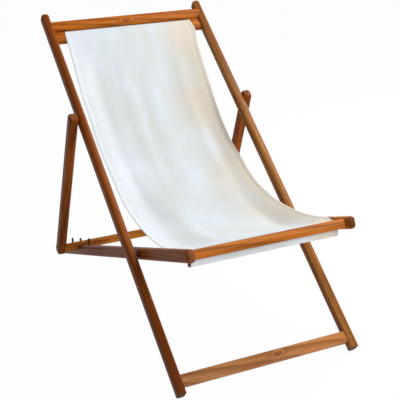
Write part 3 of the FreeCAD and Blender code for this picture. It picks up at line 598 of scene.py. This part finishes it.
def section():
    """The canvas cut across: places and offsets of its upper side, then of its under side."""
    inner = CANVAS_HALF - HEM_WIDTH
    seam = inner + SEAM_INSET
    places = [-inner + 2 * inner * step / FIELD_STEPS for step in range(FIELD_STEPS + 1)]
    rows = [(place, FIELD_HALF_THICKNESS, FIELD_HALF_THICKNESS) for place in places]
    hem = [(inner + HEM_STEP, HEM_TOP * 0.92, HEM_UNDER * 0.95),
           (seam - SEAM_HALF, HEM_TOP, HEM_UNDER),
           (seam, HEM_TOP - SEAM_DENT_TOP, HEM_UNDER - SEAM_DENT_UNDER),
           (seam + SEAM_HALF, HEM_TOP, HEM_UNDER),
           (CANVAS_HALF - HEM_SWELL_FROM_EDGE, HEM_TOP * 1.03, HEM_UNDER * 1.03),
           (CANVAS_HALF - HEM_ROUND_FROM_EDGE, HEM_TOP, HEM_UNDER),
           (CANVAS_HALF - HEM_LIP_FROM_EDGE, HEM_TOP * 0.66, HEM_UNDER * 0.66)]
    rows = [(-place, top, under) for place, top, under in reversed(hem)] + rows + hem
    upper = [(place, top) for place, top, under in rows]
    under = [(place, -under) for place, top, under in reversed(rows)]
    return upper + [(CANVAS_HALF, 0.0)] + under + [(-CANVAS_HALF, 0.0)]


def add_piece(mesh, name):
    """An object made of a finished mesh, its faces turned outwards."""
    bmesh.ops.recalc_face_normals(mesh, faces=mesh.faces)
    data = bpy.data.meshes.new(name)
    mesh.to_mesh(data)
    mesh.free()
    piece = bpy.data.objects.new(name, data)
    bpy.context.collection.objects.link(piece)
    return piece


def build_canvas():
    """The cloth itself: its section carried along the hang, with a map of the flat cloth."""
    ring = section()
    mesh = bmesh.new()
    uv = mesh.loops.layers.uv.new("cloth")
    rings = []
    for station in range(len(hang)):
        rings.append([mesh.verts.new(canvas_point(station, across, offset)) for across, offset in ring])
    count = len(ring)
    for station in range(len(hang) - 1):
        here, there = rings[station], rings[station + 1]
        for step in range(count):
            after = (step + 1) % count
            face = mesh.faces.new((here[step], here[after], there[after], there[step]))
            face.smooth = True
            across = (ring[step][0], ring[after][0], ring[after][0], ring[step][0])
            along = (hang[station][2], hang[station][2], hang[station + 1][2], hang[station + 1][2])
            for loop, first, second in zip(face.loops, across, along):
                loop[uv].uv = (first, second)
    mesh.faces.new(rings[0][::-1])
    mesh.faces.new(rings[-1])
    return add_piece(mesh, "canvas_sling")


def add_stitch(mesh, middle, way, upper):
    """One thread stitch: a small lens that lies on the cloth and dives into it at both ends."""
    aside = way.cross(upper) * STITCH_WIDTH
    sunk = upper * STITCH_HEIGHT
    tips = [mesh.verts.new(middle + way * STITCH_LENGTH * end - sunk) for end in (-0.5, 0.5)]
    rings = []
    for share in (-0.28, 0.0, 0.28):
        lift = STITCH_HEIGHT * (1.0 if share == 0.0 else 0.8)
        centre = middle + way * STITCH_LENGTH * share
        corners = (centre + aside, centre + upper * lift, centre - aside, centre - sunk)
        rings.append([mesh.verts.new(corner) for corner in corners])
    for here, there in zip(rings, rings[1:]):
        for corner in range(4):
            after = (corner + 1) % 4
            mesh.faces.new((here[corner], here[after], there[after], there[corner])).smooth = True
    for corner in range(4):
        after = (corner + 1) % 4
        mesh.faces.new((rings[0][after], rings[0][corner], tips[0])).smooth = True
        mesh.faces.new((rings[-1][corner], rings[-1][after], tips[1])).smooth = True


def at_length(total):
    """The station, and the share of the way to the next one, at a length along the canvas."""
    for station in range(len(hang) - 1):
        if hang[station + 1][2] >= total:
            span = hang[station + 1][2] - hang[station][2]
            return station, (total - hang[station][2]) / span
    return len(hang) - 2, 1.0


def build_stitches():
    """Lockstitch down both hems, on both sides of the cloth."""
    mesh = bmesh.new()
    seam = CANVAS_HALF - HEM_WIDTH + SEAM_INSET
    first = hang_start - SEAM_BEFORE_HANG
    last = hang_end + SEAM_PAST_HANG
    for number in range(int((last - first) / STITCH_PITCH)):
        station, share = at_length(first + STITCH_PITCH * (number + 0.5))
        for across in (-seam, seam):
            for side, offset in ((1, HEM_TOP - STITCH_SINK), (-1, -HEM_UNDER + STITCH_SINK)):
                here = canvas_point(station, across, offset)
                there = canvas_point(station + 1, across, offset)
                way = (there - here).normalized()
                upper = turned(hang[station][1].lerp(hang[station + 1][1], share).normalized(), -90)
                add_stitch(mesh, here.lerp(there, share), way, upper * side)
    return add_piece(mesh, "canvas_stitches")


def make_weave():
    """Plain weave: threads over and under each other, with slubs and thin places in the yarn."""
    tree, given, sink = new_group(
        "weave", {"Cloth": "Vector", "Thread": "Float"}, {"Height": "Float", "Gap": "Float", "Slub": "Float"})
    parts = place(tree, "SeparateXYZ", {"Vector": given["Cloth"]}).outputs
    wobble = calc(tree, "MULTIPLY", scaled_noise(tree, given["Cloth"], (180.0, 180.0, 1.0), detail=1.0), 0.9)
    across = calc(tree, "ADD", calc(tree, "DIVIDE", parts["X"], given["Thread"]), wobble)
    along = calc(tree, "ADD", calc(tree, "DIVIDE", parts["Y"], given["Thread"]), wobble)
    warp = calc(tree, "SINE", calc(tree, "MULTIPLY", across, math.pi))
    weft = calc(tree, "SINE", calc(tree, "MULTIPLY", along, math.pi))
    weave_height = calc(tree, "MULTIPLY", warp, weft)
    height = calc(tree, "MULTIPLY_ADD", weave_height, 0.5, 0.5)
    gap = calc(tree, "MULTIPLY", ramp(tree, calc(tree, "ABSOLUTE", warp), 0.35, 0.0),
               ramp(tree, calc(tree, "ABSOLUTE", weft), 0.35, 0.0))
    long_slub = scaled_noise(tree, given["Cloth"], (900.0, 14.0, 1.0))
    cross_slub = scaled_noise(tree, given["Cloth"], (14.0, 900.0, 1.0), shift=(3.0, 8.0, 0.0))
    slub = calc(tree, "MAXIMUM", ramp(tree, long_slub, 0.58, 0.78), ramp(tree, cross_slub, 0.58, 0.78))
    drive(tree, sink, {"Height": height, "Gap": gap, "Slub": slub})
    return tree


def make_canvas_finish():
    """Off-white cotton canvas: cool white with random patches and bands of painted shade, painted light down
    one side, painted warm shade towards the other and a painted shadow along its top fold.
    """
    material, tree, shader = new_material("cotton_canvas", Roughness=0.92, Specular_IOR_Level=0.2,
                                          Sheen_Weight=0.12, Sheen_Roughness=0.5)
    cloth = place(tree, "UVMap", uv_map="cloth").outputs[0]
    weave = use_group(tree, make_weave(), {"Cloth": cloth, "Thread": THREAD_SPACING})
    parts = place(tree, "SeparateXYZ", {"Vector": cloth}).outputs
    cloud = scaled_noise(tree, cloth, (8.0, 4.5, 1.0))
    drift = scaled_noise(tree, cloth, (5.0, 6.0, 1.0), shift=(9.0, 3.0, 0.0))
    band = scaled_noise(tree, cloth, (16.0, 1.6, 1.0), detail=1.0, shift=(5.0, 2.0, 0.0))
    # Painted shade: random shaded patches over the clean white, then soft bands of shade down the cloth.
    colour = blend_colours(tree, ramp(tree, cloud, 0.38, 0.64), SHADED_WHITE, CLEAN_WHITE)
    colour = blend_colours(tree, ramp(tree, band, 0.50, 0.72, 0.0, 0.8), colour, BAND_SHADE_WHITE)
    # Painted light: the left side of the cloth is whiter.
    painted_light_side = ramp(tree, parts["X"], -0.13, -0.19)
    colour = blend_colours(tree, calc(tree, "MULTIPLY", painted_light_side, 0.8), colour, PAINTED_LIGHT_WHITE)
    # Painted shade: a warm tone towards the right side of the cloth.
    painted_warm_shade = ramp(tree, calc(tree, "MULTIPLY_ADD", drift, 0.22, parts["X"]), 0.19, 0.31)
    colour = blend_colours(tree, calc(tree, "MULTIPLY", painted_warm_shade, 0.7), colour, WARM_PAINTED_SHADE)
    colour = blend_colours(tree, calc(tree, "MULTIPLY", weave["Gap"], 0.35), colour, GAP_SHADE)
    colour = blend_colours(tree, calc(tree, "MULTIPLY", weave["Slub"], 0.30), colour, SLUB_WHITE)
    # Painted shadow along the top fold, where the head rail shades the cloth.
    fold_line = hang_start - SLAT_DEPTH + 2 * SLAT_ROUND
    painted_fold_shadow = ramp(tree, parts["Y"], fold_line + 0.001, fold_line - 0.003)
    colour = blend_colours(tree, calc(tree, "MULTIPLY", painted_fold_shadow, 0.7), colour, FOLD_PAINTED_SHADOW)
    threads = calc(tree, "MULTIPLY_ADD", weave["Slub"], 0.5, weave["Height"])
    near_hem = ramp(tree, calc(tree, "ABSOLUTE", parts["X"]), 0.165, 0.206)
    pucker = calc(tree, "MULTIPLY", scaled_noise(tree, cloth, (14.0, 60.0, 1.0), detail=1.0), near_hem)
    crease = scaled_noise(tree, cloth, (24.0, 9.0, 1.0), detail=3.0, shift=(1.0, 6.0, 0.0))
    crumple = calc(tree, "MULTIPLY_ADD", crease, 0.6, pucker)
    soft = bumped(tree, crumple, strength=0.5, depth=0.003)
    woven = bumped(tree, threads, strength=0.4, depth=0.0003, below=soft)
    drive(tree, shader, {"Base Color": colour, "Normal": woven})
    return material


def make_thread_finish():
    material, tree, shader = new_material("sewing_thread", Roughness=0.7)
    position = object_place(tree)
    twist = scaled_noise(tree, position, (2500.0, 900.0, 900.0), detail=1.0)
    colour = blend_colours(tree, ramp(tree, twist, 0.35, 0.65), rgb(206, 202, 190), rgb(236, 234, 226))
    drive(tree, shader, {"Base Color": colour, "Normal": bumped(tree, twist, strength=0.3, depth=0.0001)})
    return material


def hang_canvas():
    canvas = build_canvas()
    canvas.data.materials.append(make_canvas_finish())
    stitches = build_stitches()
    stitches.data.materials.append(make_thread_finish())
    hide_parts("sling")
    for piece in (canvas, stitches):
        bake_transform(piece)


# Studio

WHITE = (1, 1, 1, 1)
FLOOR_SIZE = 40
FLOOR_TONE = (0.85, 0.85, 0.85, 1)
FLOOR_GLOW_SHARE = 0.972
SKY_TONE = (0.93, 0.97, 1.0, 1)
SKY_STRENGTH = 0.2
CAMERA_PLACE = (-1.0639, -2.4821, 1.2328)
CAMERA_YAW = math.radians(24.78)
CAMERA_PITCH = math.radians(-18.79)
CAMERA_ROLL = math.radians(-2.18)
CAMERA_SENSOR = 36
CAMERA_LENS = 82.87
CAMERA_SHIFT = (-0.0094, 0.0104)


def seen_directly(tree):
    """One where the camera, a reflection or clear material looks at the surroundings."""
    path = place(tree, "LightPath").outputs
    seen = calc(tree, "MAXIMUM", path["Is Camera Ray"], path["Is Glossy Ray"])
    return calc(tree, "MAXIMUM", seen, path["Is Transmission Ray"])


def add_floor():
    """A pale floor that the camera sees as white, but for a faint shadow of the chair."""
    bpy.ops.mesh.primitive_plane_add(size=FLOOR_SIZE, location=(0, 0, 0))
    floor = bpy.context.object
    floor.name = "studio_floor"
    material, tree, shader = new_material("white_floor", Base_Color=FLOOR_TONE, Roughness=0.9)
    glow = place(tree, "Emission", {"Color": WHITE, "Strength": 1.0})
    share = calc(tree, "MULTIPLY", seen_directly(tree), FLOOR_GLOW_SHARE)
    mix = place(tree, "MixShader", {0: share, 1: shader.outputs[0], 2: glow.outputs[0]})
    drive(tree, tree.nodes["Material Output"], {"Surface": mix.outputs[0]})
    floor.data.materials.append(material)
    floor.select_set(False)


def light_world():
    """A soft, slightly blue sky that lights the chair, and plain white where it is seen directly."""
    world = bpy.data.worlds.new("studio")
    bpy.context.scene.world = world
    world.use_nodes = True
    tree = world.node_tree
    sky = tree.nodes["Background"]
    drive(tree, sky, {"Color": SKY_TONE, "Strength": SKY_STRENGTH})
    white = place(tree, "Background", {"Color": WHITE, "Strength": 1.0})
    mix = place(tree, "MixShader", {0: seen_directly(tree), 1: sky.outputs[0], 2: white.outputs[0]})
    drive(tree, tree.nodes["World Output"], {"Surface": mix.outputs[0]})


def add_lamp(name, place_at, aim, size, power):
    """A rectangular lamp at a place, turned towards its aim. Metres and watts."""
    lamp = bpy.data.lights.new(name, "AREA")
    lamp.shape = "RECTANGLE"
    lamp.size, lamp.size_y = size
    lamp.energy = power
    holder = bpy.data.objects.new(name, lamp)
    holder.location = place_at
    holder.rotation_euler = (Vector(aim) - Vector(place_at)).to_track_quat("-Z", "Y").to_euler()
    bpy.context.collection.objects.link(holder)


def add_camera():
    """The camera at the photograph's viewing angle."""
    ahead = Vector((math.sin(CAMERA_YAW) * math.cos(CAMERA_PITCH),
                    math.cos(CAMERA_YAW) * math.cos(CAMERA_PITCH), math.sin(CAMERA_PITCH)))
    level = Vector((math.cos(CAMERA_YAW), -math.sin(CAMERA_YAW), 0))
    lift = level.cross(ahead)
    right = level * math.cos(CAMERA_ROLL) + lift * math.sin(CAMERA_ROLL)
    above = lift * math.cos(CAMERA_ROLL) - level * math.sin(CAMERA_ROLL)
    turn = Matrix((right, above, -ahead)).transposed()
    camera = bpy.data.cameras.new("camera")
    camera.sensor_width = CAMERA_SENSOR
    camera.lens = CAMERA_LENS
    camera.shift_x, camera.shift_y = CAMERA_SHIFT
    holder = bpy.data.objects.new("camera", camera)
    holder.matrix_world = Matrix.Translation(CAMERA_PLACE) @ turn.to_4x4()
    bpy.context.collection.objects.link(holder)
    bpy.context.scene.camera = holder


add_camera()
dress_frames()
dress_hardware()
hang_canvas()
add_floor()
light_world()
add_lamp("overhead", place_at=(1.25, -0.3, 2.6), aim=(0, 0, 0.4), size=(1.0, 1.0), power=34)
add_lamp("front", place_at=(1.7, -3.0, 1.8), aim=(0, 0, 0.4), size=(1.3, 1.3), power=56)
add_lamp("rim", place_at=(3.0, 1.2, 1.5), aim=(0, 0, 0.5), size=(0.8, 1.6), power=60)
bpy.context.scene.view_settings.view_transform = "Standard"
